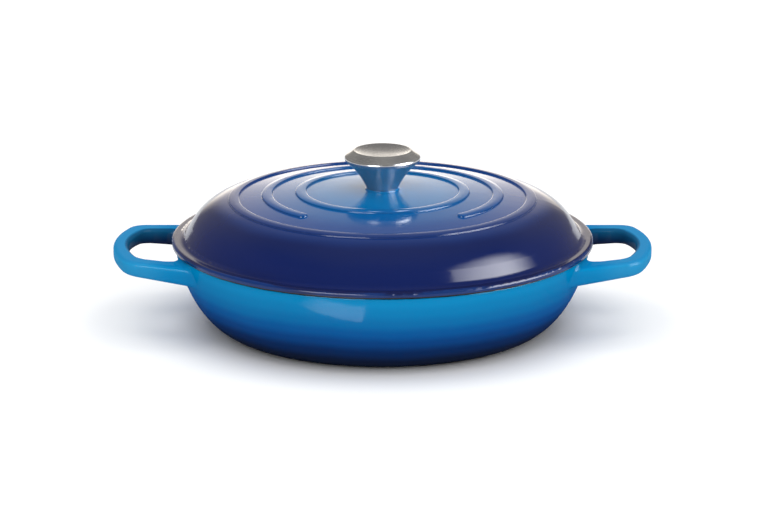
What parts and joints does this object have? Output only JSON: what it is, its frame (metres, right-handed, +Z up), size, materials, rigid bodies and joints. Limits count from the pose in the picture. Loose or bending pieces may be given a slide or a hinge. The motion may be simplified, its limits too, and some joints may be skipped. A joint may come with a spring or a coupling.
{
  "type": "lidded braiser",
  "caption": "Shallow round enamelled cast-iron pan with loop handles and a domed lift-off lid with raised rings and a flared steel knob.",
  "frame": {"origin": "centre of the pan's flat base, on the surface it stands on", "axes": "+Z up out of the pan, +X through the loop handles, and the break in the lid's middle ring faces -Y, the side that the picture shows"},
  "size_m": [0.39, 0.3052, 0.1298],
  "materials": {
    "pan_enamel": "gloss enamel on cast iron, azure at the rim and handles fading to navy at the foot, cream inside, matt black on the rim",
    "lid_enamel": "gloss enamel on cast iron, navy at the flange fading to azure at the knob, cream inside, matt black under the flange",
    "knob_steel": "polished stainless steel",
    "cap_steel": "fine circular brushing on stainless steel",
    "fixing_steel": "bright plated steel"
  },
  "bodies": {
    "pan": {"pan": "pan_enamel"},
    "lid": {"lid": "lid_enamel", "knob_shell": "knob_steel", "knob_cap": "cap_steel", "knob_insert": "fixing_steel", "knob_screw": "fixing_steel", "screw_washer": "fixing_steel"}
  },
  "joints": [
    {"name": "lid_lift", "type": "slide", "parent": "pan", "child": "lid", "axis": [0, 0, 1], "range_m": [0, 0.12]}
  ]
}
